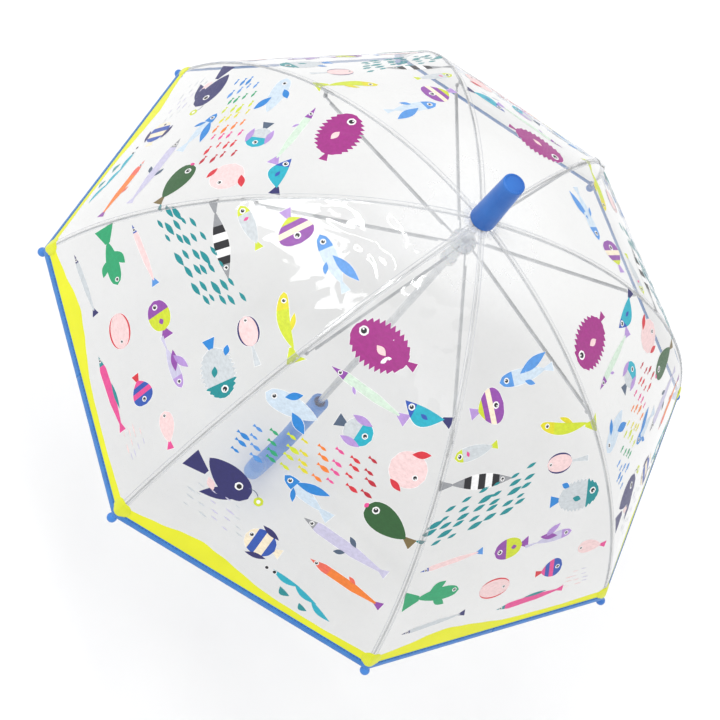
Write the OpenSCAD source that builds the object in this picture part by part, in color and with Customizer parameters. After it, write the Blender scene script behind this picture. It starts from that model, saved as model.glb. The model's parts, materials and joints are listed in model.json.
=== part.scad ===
// Children's dome umbrella: eight wire ribs, a sliding runner, a clear film canopy and a crook handle.
// The origin is the middle of the handle's straight grip. +Z runs up the shaft, and the crook opens to -Y.

/* [Shaft] */
// Outside diameter of the steel shaft
shaft_d = 8; // [7:0.5:10]
// Wall of the shaft tube
shaft_wall = 0.8; // [0.6:0.1:1.2]
// Height of the canopy's crown above the middle of the grip
crown_h = 505; // [440:5:620]
// Length of shaft that shows between the crown and the handle's mouth
shaft_free = 446; // [425:1:520]

/* [Handle] */
// Thickness of the crook handle
handle_d = 22; // [18:0.5:28]
// Radius of the crook's bend, along its middle
crook_r = 33; // [26:1:40]
// Straight length at the crook's free end
crook_end = 14; // [4:1:30]
// Width of the open mouth at the handle's top
mouth_d = 14; // [12:0.5:16]
// Depth of the mouth
mouth_deep = 9; // [4:1:14]
// Depth of the socket that holds the shaft, below the mouth
socket_deep = 48; // [30:1:60]

/* [Canopy] */
// Radius from the shaft's axis to the hem, along a rib
canopy_r = 350; // [300:5:400]
// Height of the crown above the hem
canopy_deep = 232; // [200:2:270]
// Radius of the curve that each rib is bent to
rib_bend = 395; // [370:5:520]
// Thickness of the clear film
film = 0.3; // [0.2:0.05:0.6]
// Room between two neighbouring panels of film
film_gap = 0.3; // [0.2:0.05:0.6]
// Radius of the film's hole at the crown
film_hole = 14; // [13:0.5:16]

/* [Ribs and stretchers] */
// Thickness of the rib wire
rib_d = 1.8; // [1.5:0.1:2.4]
// Distance along a rib from the crown to its stretcher bracket
bracket_at = 195; // [180:1:206]
// Length of a bracket's crimped sleeve
bracket_len = 17; // [12:1:22]
// Drop from a rib to the pivot of its stretcher
pivot_drop = 4.4; // [3.6:0.1:6]
// Width of a stretcher's channel
stretcher_w = 2.5; // [2:0.1:3]
// Height of a stretcher's channel
stretcher_h = 2.2; // [1.8:0.1:2.6]
// Thickness of the sheet that brackets and stretchers are pressed from
sheet = 0.5; // [0.4:0.05:0.7]
// Diameter of the ball on each tip cap
ball_d = 9.4; // [8:0.2:12]

/* [Crown and runner] */
// Depth of the ribs' pivot ring below the crown
rib_ring_drop = 6.5; // [6:0.1:8]
// Radius of the ribs' pivot ring
rib_ring_r = 8.5; // [8.5:0.1:10]
// Depth of the stretchers' pivot ring below the crown, with the canopy open
runner_drop = 46; // [40:1:56]
// Radius of the stretchers' pivot ring
runner_ring_r = 10.5; // [10.5:0.1:12]
// Length of the runner's barrel below its flange
barrel_len = 31; // [24:1:36]
// How far the runner slides to close the canopy
runner_travel = 331; // [300:1:345]
// Length of the ferrule
ferrule_len = 62; // [40:1:80]
// Width of the ferrule's foot
ferrule_foot = 25; // [22:0.5:30]
// Width of the ferrule's top
ferrule_top = 20.8; // [16:0.2:22]

/* [Tie strap] */
// Distance along its rib from the crown to the strap's sewn end
strap_at = 268; // [215:1:300]
// Length of the strap
strap_len = 62; // [40:1:90]
// Width of the strap
strap_w = 11; // [8:0.5:14]
// Diameter of the press stud
stud_d = 9; // [7:0.5:11]

/* [Hidden] */
$fn = 48;
ribs = [1:8];
step = 45;              // angle between two ribs
half = step / 2;
rib_turn = -96.5;       // heading of rib 1, which stands beside the crook
catch_turn = rib_turn + half + 4 * step;
strap_rib = 5;

fit = 0.05;             // radial room of a running fit
slack = 0.3;            // room between moving pieces that never touch
wire_d = 1;             // tie wire in the two pivot rings
wire_r = wire_d / 2;
rib_r = rib_d / 2;
crimp_r = rib_r + sheet;  // outside of a bracket's crimped sleeve
shaft_r = shaft_d / 2;
tube_r = shaft_r - shaft_wall;

// The rib's curve: an arc from the pivot ring to the hem, as [distance from the axis, height]
pin_at = [rib_ring_r, crown_h - rib_ring_drop];
hem_at = [canopy_r, crown_h - canopy_deep];
chord = norm(hem_at - pin_at);
along_chord = (hem_at - pin_at) / chord;
bow = sqrt(pow(rib_bend, 2) - pow(chord / 2, 2));
arc_mid = (pin_at + hem_at) / 2 + bow * [along_chord.y, -along_chord.x];
function lean(p) = atan2(p.x - arc_mid.x, p.y - arc_mid.y);
crown_lean = lean(pin_at);
hem_lean = lean(hem_at);
function lean_at(d) = crown_lean + d / rib_bend * 180 / PI;
function on_arc(a, out = 0) = arc_mid + (rib_bend + out) * [sin(a), cos(a)];

// Stations along the rib, and the film's two faces, which clear the brackets
flex_at = bracket_at + bracket_len / 2 + 3.5;
flex_lean = lean_at(flex_at);
hem_along = (hem_lean - crown_lean) * PI / 180 * rib_bend;
film_in = crimp_r + 0.35;
film_out = film_in + film;
film_top_lean = asin((film_hole - arc_mid.x) / rib_bend);
film_split = film_gap / 2 / rib_bend * 180 / PI;

// The stretcher's two pivots; it stands beside the rib, so that it can pass it
side = rib_r + 1.35;
blade = 0.8;            // thickness of the flat blade at each end
blade_half = 1.1;       // half the blade's height
eye_wall = 0.8;         // steel round a rib's pivot hole
eye_half = 0.7;         // half the thickness of a rib's pivot eye
eye_bore_r = wire_r + 0.12;   // wider than a running fit, since the tie wire is curved
rivet_r = 0.8;
near_pivot = [sqrt(pow(runner_ring_r, 2) - pow(side + blade / 2, 2)), crown_h - runner_drop];
far_pivot = on_arc(lean_at(bracket_at), -pivot_drop);
stretcher_len = norm(far_pivot - near_pivot);
stretcher_dip = atan2(near_pivot.y - far_pivot.y, far_pivot.x - near_pivot.x);

// Crown
notch_r = rib_ring_r + 3;
eye_r = rib_r + eye_wall;
notch_below = eye_r + 0.9;
patch_bottom = max(on_arc(film_top_lean, film_out).y, pin_at.y + eye_r) + slack;
patch = 0.6;            // thickness of the round patch
patch_lap = 1.5;        // how far it laps over the film's hole
ferrule_z = patch_bottom + patch + fit;
ferrule_roof = 22;      // solid plastic above the shaft's end
ferrule_bore_deep = ferrule_len - ferrule_roof;

// Runner
flange_half = 3;
stretcher_eye_r = 1.8;
flange_r = runner_ring_r + 2;
barrel_r = shaft_r + 2.5;
runner_z = crown_h - runner_drop;
runner_foot_z = runner_z - flange_half - barrel_len;
closed_foot_z = runner_foot_z - runner_travel;

// Spring catches
nose_reach = 3.2;
nose_len = 9;
tongue_len = 22;
tongue_w = 1.2;
tongue_thick = 1.6;
catch_pin_r = 0.5;
catch_pin_half = sqrt(pow(shaft_r - 0.15, 2) - pow(tube_r / 2 + catch_pin_r, 2));  // ends inside the wall
top_nose_z = runner_foot_z - slack;
low_nose_z = closed_foot_z + 10;

// Handle, with a little room below the shaft's end
mouth_z = crown_h - shaft_free;
grip_half = mouth_z;
handle_r = handle_d / 2;
socket_z = mouth_z - mouth_deep - socket_deep;
end_room = 2;
shaft_foot_z = socket_z + end_room;
shaft_top_z = ferrule_z + ferrule_bore_deep - end_room;

// Rib's flex joint: two cheeks on the upper half, a tongue on the lower half
cheek_r = rib_r + 0.2;
cheek_half = rib_r + 0.25;
cheek_back = 3;
tongue_r = rib_r + 0.1;
tongue_half = 0.5;
cheek_gap = tongue_half + 0.12;
flex_pin_r = 0.45;
joint_lap = 0.6;        // how far the wire runs into the cheeks and the tongue

// Tip cap, press stud and strap
neck_len = 7;
cap_start = 0.5;
ball_at = cap_start + neck_len - 1.9 + ball_d / 2;
strap_thick = 0.8;
stud_at = strap_at + strap_len - stud_d * 0.8;
post_r = 0.9;           // the stud's post through the strap

function numbered(word) = [for (i = ribs) str(word, "_", i)];

// Places children on rib i, whose plane is then XZ
module at_rib(i) rotate([0, 0, rib_turn + step * (i - 1)]) children();

// Places children at a distance along the rib, with X outwards along it and Z away from the shaft
module on_rib(along, out = 0) {
    p = on_arc(lean_at(along), out);
    translate([p.x, 0, p.y]) rotate([0, lean_at(along), 0]) children();
}

// Sweeps a flat outline along the rib's curve; the outline's X is away from the shaft
module along_rib(from, to) {
    translate([arc_mid.x, 0, arc_mid.y])
        rotate([90, 0, 0])
            rotate([0, 0, 90 - lean_at(to)])
                rotate_extrude(angle = lean_at(to) - lean_at(from), $fn = 360)
                    translate([rib_bend, 0])
                        children();
}

// A cylinder across the rib's plane
module across(r, from, to) translate([0, to, 0]) rotate([90, 0, 0]) cylinder(r = r, h = to - from);

// A block given by its low and high corners
module block(low, high) translate(low) cube(high - low);

// A loop of tie wire in one of the pivot rings
module wire_loop(r, z) translate([0, 0, z])
    rotate_extrude($fn = 96) translate([r, 0]) circle(wire_r, $fn = 24);

// Points of a rounded edge, a quarter turn about p
function corner(p, r, steps = 6) = [for (k = [0:steps]) p + r * [cos(90 * k / steps), sin(90 * k / steps)]];

// Steel tube with a window for each catch and the two pins that the catches turn on
module shaft() color("silver") {
    difference() {
        translate([0, 0, shaft_foot_z]) cylinder(r = shaft_r, h = shaft_top_z - shaft_foot_z);
        translate([0, 0, shaft_foot_z - 1]) cylinder(r = tube_r, h = shaft_top_z - shaft_foot_z + 2);
        rotate([0, 0, catch_turn]) {
            translate([0, 0, top_nose_z]) window();
            translate([0, 0, low_nose_z]) mirror([0, 0, 1]) window();
        }
    }
    rotate([0, 0, catch_turn]) {
        translate([0, 0, top_nose_z - tongue_len]) catch_pin();
        translate([0, 0, low_nose_z + tongue_len]) catch_pin();
    }
}

module window() block([0, -tongue_w / 2 - slack, -nose_len - 1.6], [shaft_d, tongue_w / 2 + slack, 1.3]);

module catch_pin() translate([tube_r / 2, 0, 0]) across(catch_pin_r, -catch_pin_half, catch_pin_half);

// Sprung tongue: its nose stands out of the shaft, with a flat edge at height 0 and a slope below it
module catch() difference() {
    union() {
        translate([tube_r / 2, 0, -tongue_len]) across(catch_pin_r + 0.75, -tongue_w / 2, tongue_w / 2);
        block([tube_r / 2 - tongue_thick / 2, -tongue_w / 2, -tongue_len], [tube_r - 0.35, tongue_w / 2, 0]);
        translate([0, tongue_w / 2, 0])
            rotate([90, 0, 0])
                linear_extrude(tongue_w)
                    polygon([[tube_r / 2, 0], [shaft_r + nose_reach, 0], [shaft_r + nose_reach, -1.5],
                        [tube_r - 0.35, -nose_len]]);
    }
    translate([tube_r / 2, 0, -tongue_len]) across(catch_pin_r + fit, -tongue_w, tongue_w);
}

module top_catch() color("gainsboro") rotate([0, 0, catch_turn]) translate([0, 0, top_nose_z]) catch();

module lower_catch() color("gainsboro")
    rotate([0, 0, catch_turn]) translate([0, 0, low_nose_z]) mirror([0, 0, 1]) catch();

// Tapered cap on the shaft's top, with a shallow flat-floored dish
module ferrule() {
    foot = ferrule_foot / 2;
    top = ferrule_top / 2;
    round = 1.6;
    chamfer = 0.8;
    dish_r = top - 2.6;
    dish_deep = 0.9;
    color("royalblue") translate([0, 0, ferrule_z]) difference() {
        rotate_extrude($fn = 96) polygon(concat(
            [[0, 0], [foot - chamfer, 0], [foot, chamfer]],
            corner([top - round, ferrule_len - round], round),
            [[dish_r + chamfer, ferrule_len], [dish_r, ferrule_len - dish_deep], [0, ferrule_len - dish_deep]]
        ));
        translate([0, 0, -1]) cylinder(r = shaft_r + fit, h = ferrule_bore_deep + 1);
    }
}

// Grooved nylon ring on the shaft, with a slot for each rib
module crown_notch() color("whitesmoke") difference() {
    translate([0, 0, pin_at.y]) spool(notch_r, rib_ring_r, notch_below, eye_r);
    for (i = ribs) at_rib(i) translate([rib_ring_r - eye_r - slack, 0, pin_at.y])
        block([0, -rib_r - slack - fit, -notch_r], [2 * notch_r, rib_r + slack + fit, notch_r]);
}

// A disc around the shaft with an outside groove that a tie wire lies in
module spool(r, groove_r, below, above) difference() {
    translate([0, 0, -below]) cylinder(r = r, h = below + above, $fn = 96);
    translate([0, 0, -below - 1]) cylinder(r = shaft_r + fit, h = below + above + 2);
    difference() {
        translate([0, 0, -wire_r - fit]) cylinder(r = r + 1, h = wire_d + 2 * fit);
        translate([0, 0, -wire_d]) cylinder(r = groove_r - wire_r - fit, h = 2 * wire_d);
    }
}

module crown_wire() color("silver") wire_loop(rib_ring_r, pin_at.y);

// Round patch of film that closes the crown, under the ferrule
module crown_patch() color("white") translate([0, 0, patch_bottom]) difference() {
    cylinder(r = film_hole + patch_lap, h = patch);
    translate([0, 0, -1]) cylinder(r = shaft_r + fit, h = patch + 2);
}

// Crook handle with an open mouth and a socket for the shaft
module handle() {
    lip = 1.5;
    color("cornflowerblue") difference() {
        union() {
            rotate_extrude($fn = 96) polygon(concat(
                [[0, -grip_half], [handle_r, -grip_half]],
                corner([handle_r - lip, mouth_z - lip], lip),
                [[0, mouth_z]]
            ));
            translate([0, -crook_r, -grip_half])
                rotate([0, 90, 0])
                    rotate([0, 0, -90])
                        rotate_extrude(angle = 180, $fn = 120)
                            translate([crook_r, 0])
                                circle(handle_r, $fn = 72);
            translate([0, -2 * crook_r, -grip_half]) {
                cylinder(r = handle_r, h = crook_end, $fn = 72);
                translate([0, 0, crook_end]) sphere(handle_r, $fn = 72);
            }
        }
        translate([0, 0, mouth_z - mouth_deep]) cylinder(r = mouth_d / 2, h = mouth_deep + 1);
        translate([0, 0, socket_z]) cylinder(r = shaft_r + fit, h = socket_deep + 1);
    }
}

// Slider with a slotted flange for the stretchers and a slit that the catches pass through
module runner() color("white") difference() {
    lap = 0.5;
    bead = 1.4;
    bead_len = 5;
    collar = 0.6;
    collar_len = 2.5;
    slit_half = tongue_w / 2 + 2 * slack;
    union() {
        translate([0, 0, runner_z]) spool(flange_r, runner_ring_r, flange_half, flange_half);
        translate([0, 0, runner_foot_z]) sleeve(barrel_r, barrel_len + lap);
        translate([0, 0, runner_foot_z]) sleeve(barrel_r + bead, bead_len);
        translate([0, 0, runner_z + flange_half - lap]) sleeve(barrel_r + collar, collar_len);
    }
    for (i = ribs) at_rib(i) translate([near_pivot.x - stretcher_eye_r - 0.4, 0, runner_z])
        block([0, side - slack, -flange_r], [2 * flange_r, side + blade + slack, flange_r]);
    rotate([0, 0, catch_turn])
        block([0, -slit_half, runner_foot_z - 1], [shaft_r + nose_reach + 1, slit_half, runner_z + flange_r]);
}

module sleeve(r, h) difference() {
    cylinder(r = r, h = h);
    translate([0, 0, -1]) cylinder(r = shaft_r + fit, h = h + 2);
}

module runner_wire() color("silver") wire_loop(runner_ring_r, runner_z);

// Upper half of a rib: pivot eye, wire, crimped bracket with its ear, and the cheeks of the flex joint
module rib_inner(i) color("lightgray") at_rib(i) {
    difference() {
        union() {
            on_rib(0) across(eye_r, -eye_half, eye_half);
            along_rib(1, flex_at - cheek_back + joint_lap) circle(rib_r, $fn = 24);
        }
        on_rib(0) across(eye_bore_r, -eye_r, eye_r);
    }
    along_rib(bracket_at - bracket_len / 2, bracket_at + bracket_len / 2) difference() {
        circle(crimp_r, $fn = 32);
        circle(rib_r + 0.02, $fn = 24);
    }
    ear_from = rib_r + fit;
    ear_to = side - slack;
    ear_r = pivot_drop / 2;
    on_rib(bracket_at) {
        translate([0, 0, -pivot_drop]) across(ear_r, ear_from, ear_to);
        block([-ear_r, ear_from, -pivot_drop], [ear_r, ear_to, slack]);
        translate([0, 0, -pivot_drop]) across(rivet_r, ear_from - sheet, side - slack / 2);
    }
    on_rib(flex_at) {
        difference() {
            union() {
                across(cheek_r, -cheek_half, cheek_half);
                block([-cheek_back, -cheek_half, -cheek_r], [0, cheek_half, cheek_r]);
            }
            block([-tongue_r - slack, -cheek_gap, -2 * cheek_r], [2 * cheek_r, cheek_gap, 2 * cheek_r]);
        }
        across(flex_pin_r, -cheek_half, cheek_half);
    }
}

// Lower half of a rib: the tongue of the flex joint and the wire down to the tip cap
module rib_outer(i) color("lightgray") at_rib(i) {
    tongue_high = rib_r - 0.1;
    on_rib(flex_at) difference() {
        union() {
            across(tongue_r, -tongue_half, tongue_half);
            block([0, -tongue_half, -tongue_high], [cheek_back + joint_lap, tongue_half, tongue_high]);
        }
        across(flex_pin_r + fit, -cheek_half, cheek_half);
    }
    along_rib(flex_at + cheek_back, hem_along + neck_len) circle(rib_r, $fn = 24);
}

// Channel with a flat blade at each end, and the rivet's outer half at the bracket end
module stretcher(i) color("darkgray") at_rib(i)
    translate([near_pivot.x, 0, near_pivot.y]) rotate([0, stretcher_dip, 0]) {
        from = 14;
        to = stretcher_len - 9;
        end_wall = 3;
        far_eye_r = stretcher_eye_r + 0.2;
        difference() {
            union() {
                across(stretcher_eye_r, side, side + blade);
                block([0, side, -blade_half], [from + 1, side + blade, blade_half]);
            }
            across(eye_bore_r + 0.1, 0, 2 * side + blade);
        }
        difference() {
            block([from, side, -stretcher_h / 2], [to, side + stretcher_w, stretcher_h / 2]);
            block([from + end_wall, side + sheet, -stretcher_h],
                [to - end_wall, side + stretcher_w - sheet, stretcher_h / 2 - sheet]);
        }
        block([to - 1, side, -blade_half], [stretcher_len, side + blade, blade_half]);
        translate([stretcher_len, 0, 0]) {
            across(far_eye_r, side, side + blade);
            across(far_eye_r - sheet, side + blade - 0.1, side + blade + 0.7);
        }
    }

// Blue cap on the rib's end: a short neck and a ball
module tip_cap(i) color("cornflowerblue") at_rib(i) on_rib(hem_along) difference() {
    union() {
        translate([cap_start, 0, 0]) rotate([0, 90, 0])
            cylinder(r1 = rib_r + 1.3, r2 = rib_r + 2, h = neck_len);
        translate([ball_at, 0, 0]) sphere(ball_d / 2);
    }
    translate([-1, 0, 0]) rotate([0, 90, 0]) cylinder(r = rib_r + 0.1, h = neck_len + 2);
}

// One rib's share of the film, from the middle of one gore to the middle of the next
module film_panel(from, to, rows) {
    leans = [for (k = [0:rows]) from + (to - from) * k / rows];
    function across_gore(r, s) = [
        r * cos(half) * cos(half) + sin(half) * film_gap / 2,
        s * (r * cos(half) * sin(half) - cos(half) * film_gap / 2)
    ];
    function row(a, out) = let (p = on_arc(a, out), e = across_gore(p.x, 1))
        [[e.x, -e.y, p.y], [p.x, 0, p.y], [e.x, e.y, p.y]];
    points = [for (a = leans) for (p = concat(row(a, film_out), row(a, film_in))) p];
    faces = concat(
        [for (k = [0:rows - 1]) for (c = [0, 1]) let (n = 6 * k + c) [n, n + 1, n + 7, n + 6]],
        [for (k = [0:rows - 1]) for (c = [3, 4]) let (n = 6 * k + c) [n + 6, n + 7, n + 1, n]],
        [for (k = [0:rows - 1]) let (n = 6 * k) [n + 6, n + 9, n + 3, n]],
        [for (k = [0:rows - 1]) let (n = 6 * k + 2) [n, n + 3, n + 9, n + 6]],
        [for (c = [0, 1]) [c + 3, c + 4, c + 1, c]],
        [for (c = [0, 1]) let (n = 6 * rows + c) [n, n + 1, n + 4, n + 3]]
    );
    polyhedron(points, faces);
}

module canopy_inner(i) color("white", 0.4) at_rib(i) film_panel(film_top_lean, flex_lean - film_split, 8);

module canopy_outer(i) color("white", 0.4) at_rib(i) film_panel(flex_lean + film_split, hem_lean, 9);

// Strap that holds the closed canopy together, and the press stud on its free end
module tie_strap() color("white") at_rib(strap_rib) difference() {
    along_rib(strap_at, strap_at + strap_len)
        translate([film_out + slack, -strap_w / 2]) square([strap_thick, strap_w]);
    on_rib(stud_at) cylinder(r = post_r + 0.1, h = 2 * stud_d);
}

module snap_button() color("white") at_rib(strap_rib) on_rib(stud_at, film_out + slack) {
    head = 1.4;
    translate([0, 0, strap_thick + 0.1]) cylinder(r1 = stud_d / 2, r2 = stud_d / 2 - head / 2, h = head);
    translate([0, 0, 0.15]) cylinder(r = post_r, h = strap_thick + 0.5);
}

shaft();
ferrule();
crown_notch();
crown_wire();
crown_patch();
top_catch();
lower_catch();
handle();
runner();
runner_wire();
tie_strap();
snap_button();
for (i = ribs) {
    rib_inner(i);
    rib_outer(i);
    stretcher(i);
    tip_cap(i);
    canopy_inner(i);
    canopy_outer(i);
}
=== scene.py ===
import json
import math

import bmesh
import bpy
from mathutils import Matrix, Quaternion, Vector, noise


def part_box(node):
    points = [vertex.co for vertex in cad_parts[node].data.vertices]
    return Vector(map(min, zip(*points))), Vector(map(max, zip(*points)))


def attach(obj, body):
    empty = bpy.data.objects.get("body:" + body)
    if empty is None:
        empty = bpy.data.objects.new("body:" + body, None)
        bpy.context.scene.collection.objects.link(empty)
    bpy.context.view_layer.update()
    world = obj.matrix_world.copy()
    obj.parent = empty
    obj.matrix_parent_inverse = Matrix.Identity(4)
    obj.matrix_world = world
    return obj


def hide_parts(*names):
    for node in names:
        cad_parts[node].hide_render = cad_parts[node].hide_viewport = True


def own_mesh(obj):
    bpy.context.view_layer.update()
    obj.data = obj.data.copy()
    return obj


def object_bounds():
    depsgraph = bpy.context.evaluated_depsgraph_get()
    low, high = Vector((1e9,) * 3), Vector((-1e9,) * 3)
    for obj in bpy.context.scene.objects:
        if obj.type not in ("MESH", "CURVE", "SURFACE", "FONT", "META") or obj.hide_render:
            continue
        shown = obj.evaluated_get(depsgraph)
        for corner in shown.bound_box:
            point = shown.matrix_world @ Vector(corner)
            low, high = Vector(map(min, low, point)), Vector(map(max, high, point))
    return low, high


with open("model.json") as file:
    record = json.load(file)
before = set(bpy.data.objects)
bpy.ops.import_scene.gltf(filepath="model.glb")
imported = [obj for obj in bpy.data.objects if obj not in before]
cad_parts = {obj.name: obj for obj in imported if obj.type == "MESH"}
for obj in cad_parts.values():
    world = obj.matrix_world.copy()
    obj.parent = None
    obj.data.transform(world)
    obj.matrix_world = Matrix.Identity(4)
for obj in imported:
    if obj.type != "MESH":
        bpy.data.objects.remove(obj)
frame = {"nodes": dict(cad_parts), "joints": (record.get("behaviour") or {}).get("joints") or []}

# Children's dome umbrella: clear film with printed fish on eight wire ribs, a sliding runner, blue plastic ends.
# Metres. The origin is the middle of the straight grip, +Z runs up the shaft and the crook opens to -Y.

CAD_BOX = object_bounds()
MM = 0.001
UP = Vector((0, 0, 1))

# ---------------------------------------------------------------- sizes, from the frame

RIBS = range(1, 9)
STEP = math.radians(45)
HALF = STEP / 2
RIB_BEND = 0.395        # radius of the curve that a rib is bent to
FILM_IN = 1.75 * MM     # from a rib wire's middle to the film
FILM_HOLE = 14 * MM     # radius of the film's hole at the crown
DOUBLES = 0.01 * MM     # corners closer than this are one

joints = {j["name"]: j for j in frame["joints"]}


def ring_place(joint_name):
    """Where a joint of rib 1 is, as (distance from the axis, height)."""
    x, y, z = joints[joint_name]["pos_m"]
    return Vector((math.hypot(x, y), z))


pin = ring_place("rib_1_fold")
flex = ring_place("rib_1_flex")
rib_turn = math.atan2(joints["rib_1_flex"]["pos_m"][1], joints["rib_1_flex"]["pos_m"][0])
chord = flex - pin
bow = math.sqrt(RIB_BEND**2 - chord.length_squared / 4)
arc_mid = (pin + flex) / 2 + bow * Vector((chord.y, -chord.x)).normalized()
crown_lean = math.atan2(pin.x - arc_mid.x, pin.y - arc_mid.y)
flex_along = (math.atan2(flex.x - arc_mid.x, flex.y - arc_mid.y) - crown_lean) * RIB_BEND
hem_lean = math.acos((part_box("canopy_outer_1")[0].z - arc_mid.y) / (RIB_BEND + FILM_IN))
hem_along = (hem_lean - crown_lean) * RIB_BEND
hole_along = (math.asin((FILM_HOLE - arc_mid.x) / RIB_BEND) - crown_lean) * RIB_BEND


def heading(rib):
    return rib_turn + STEP * (rib - 1)


def outward(angle):
    return Vector((math.cos(angle), math.sin(angle), 0))


def smooth_step(x):
    x = min(max(x, 0.0), 1.0)
    return x * x * (3 - 2 * x)


def rib_radius(along):
    """Distance of a rib from the shaft's axis, at a distance along it from the crown."""
    return arc_mid.x + RIB_BEND * math.sin(crown_lean + along / RIB_BEND)


def half_width(along):
    """Half the width of a gore, from its middle to a rib."""
    return rib_radius(along) * math.sin(HALF)


# ---------------------------------------------------------------- the film's surface

CRINKLE = 1.5 * MM      # height of the film's tallest creases
CREASE_FROM = 0.03      # distance from the crown where the creases start to die out
CREASE_FADE = 0.20      # distance over which they do
SEAM_ROUND = 5 * MM     # how far from a rib the film is rounded over it
CROWN_HELD = 0.01       # lengths over which the film is held taut: at the crown,
HEM_HELD = 0.02         # at the hem,
RIB_HELD = 12 * MM      # and beside a rib


def crinkle(gore, along, across):
    """How far the soft film stands off its taut shape: sharp creases at the crown that die out to the hem."""
    near_crown = 1 - smooth_step((along - CREASE_FROM) / CREASE_FADE)
    lump = Vector((across * 34 + gore * 5.1, along * 20, gore * 2.3))
    crease = 1 - abs(noise.noise(lump)) * 3.2
    fine = noise.noise(lump * 2.7)
    slow = noise.noise(Vector((across * 11, along * 9 + gore * 3.7, 0.5)))
    return CRINKLE * ((0.12 + 0.6 * near_crown) * max(crease, 0) + 0.22 * near_crown * fine + 0.5 * slow)


def film_point(gore, along, across, lift=0.0):
    """A point of the film, where across runs from the gore's middle. Gore 1 lies between ribs 1 and 2."""
    lean = crown_lean + along / RIB_BEND
    r, z = arc_mid.x + RIB_BEND * math.sin(lean), arc_mid.y + RIB_BEND * math.cos(lean)
    middle = outward(heading(gore + 0.5))
    rib = outward(heading(gore + (1 if across > 0 else 0)))
    from_rib = r * math.sin(HALF) - abs(across)
    open_share = smooth_step(from_rib / SEAM_ROUND)
    gore_up = (middle * math.sin(lean) + UP * math.cos(lean) * math.cos(HALF)).normalized()
    rib_up = rib * math.sin(lean) + UP * math.cos(lean)
    up = rib_up.lerp(gore_up, open_share).normalized()
    ends = smooth_step((along - hole_along) / CROWN_HELD) * smooth_step((hem_along - along) / HEM_HELD)
    free = smooth_step(from_rib / RIB_HELD) * ends
    out = FILM_IN + lift + free * crinkle(gore, along, across)
    return middle * (r * math.cos(HALF)) + UP.cross(middle) * across + UP * z + up * out


def beside_rib(rib, along, w, lift=0.0):
    """A point of the film w to the side of a rib, in the gore before it where w is negative."""
    half = half_width(along)
    if w < 0:
        return film_point((rib - 2) % 8 + 1, along, half + w, lift)
    return film_point(rib, along, w - half, lift)


def across_gores(gore, along, across, lift=0.0):
    """A point of the film, where across may run past a rib onto the next gore."""
    half = half_width(along)
    if across > half:
        return film_point(gore % 8 + 1, along, across - 2 * half, lift)
    if across < -half:
        return film_point((gore - 2) % 8 + 1, along, across + 2 * half, lift)
    return film_point(gore, along, across, lift)


def share_of_gores(rib, along, s, lift=0.0):
    """A point of the film, where s is -1 in the middle of the gore before a rib and 1 in the middle of the next."""
    return beside_rib(rib, along, s * half_width(along), lift)


# ---------------------------------------------------------------- materials

CROWN_PAINTED_SHEEN = 0.24               # painted sheen: milky white that the film gains at the crown, standing in for the pale sheen of light there
CROWN_PAINTED_SHEEN_SPAN = (0.015, 0.12) # distances from the shaft's axis between which it fades
VINYL_IOR = 1.5
WAVE_TURN = 6.28                # a wave texture's scale, in threads to the metre, is divided by a full turn


def linear(*rgb):
    """A colour given in 0 to 255 display steps, for a shader."""
    return tuple(((c / 255 + 0.055) / 1.055) ** 2.4 if c > 10 else c / 255 / 12.92 for c in rgb) + (1.0,)


def new_material(name):
    made = bpy.data.materials.new(name)
    made.use_nodes = True
    tree = made.node_tree
    return made, tree, tree.nodes["Principled BSDF"]


def add(tree, kind, values=None, **settings):
    node = tree.nodes.new(kind)
    for key, value in settings.items():
        setattr(node, key, value)
    for key, value in (values or {}).items():
        node.inputs[key].default_value = value
    return node


def position(tree, coordinates="Object", scale=(1, 1, 1)):
    """Texture coordinates of the piece, stretched by a Mapping node."""
    coord = add(tree, "ShaderNodeTexCoord")
    mapping = add(tree, "ShaderNodeMapping", {"Scale": scale})
    tree.links.new(coord.outputs[coordinates], mapping.inputs["Vector"])
    return mapping.outputs[0]


def grain(tree, where, scale, detail=4.0, roughness=0.55):
    node = add(tree, "ShaderNodeTexNoise", {"Scale": scale, "Detail": detail, "Roughness": roughness})
    tree.links.new(where, node.inputs["Vector"])
    return node.outputs["Fac"]


def spread(tree, source, low, high, start=0.3, end=0.7):
    node = add(tree, "ShaderNodeMapRange", {"From Min": start, "From Max": end, "To Min": low, "To Max": high})
    tree.links.new(source, node.inputs["Value"])
    return node.outputs["Result"]


def blend_colours(tree, share, first, second):
    node = add(tree, "ShaderNodeMix", data_type="RGBA")
    tree.links.new(share, node.inputs["Factor"])
    for socket, value in ((node.inputs["A"], first), (node.inputs["B"], second)):
        if isinstance(value, tuple):
            socket.default_value = value
        else:
            tree.links.new(value, socket)
    return node.outputs["Result"]


def relief(tree, shader, height, strength, distance):
    node = add(tree, "ShaderNodeBump", {"Strength": strength, "Distance": distance})
    tree.links.new(height, node.inputs["Height"])
    tree.links.new(node.outputs[0], shader.inputs["Normal"])


def moulded(name, light, dark, roughness, grain_scale=900, relief_depth=0.05 * MM, **sockets):
    """Moulded plastic or drawn metal: colour drifts slowly, roughness and relief follow a fine grain."""
    made, tree, shader = new_material(name)
    where = position(tree)
    slow = spread(tree, grain(tree, where, 28), 0, 1)
    fine = grain(tree, where, grain_scale, 6)
    tree.links.new(blend_colours(tree, slow, dark, light), shader.inputs["Base Color"])
    tree.links.new(spread(tree, fine, roughness * 0.8, roughness * 1.25), shader.inputs["Roughness"])
    relief(tree, shader, fine, 0.25, relief_depth)
    for key, value in sockets.items():
        shader.inputs[key.replace("_", " ").title()].default_value = value
    return made


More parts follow.
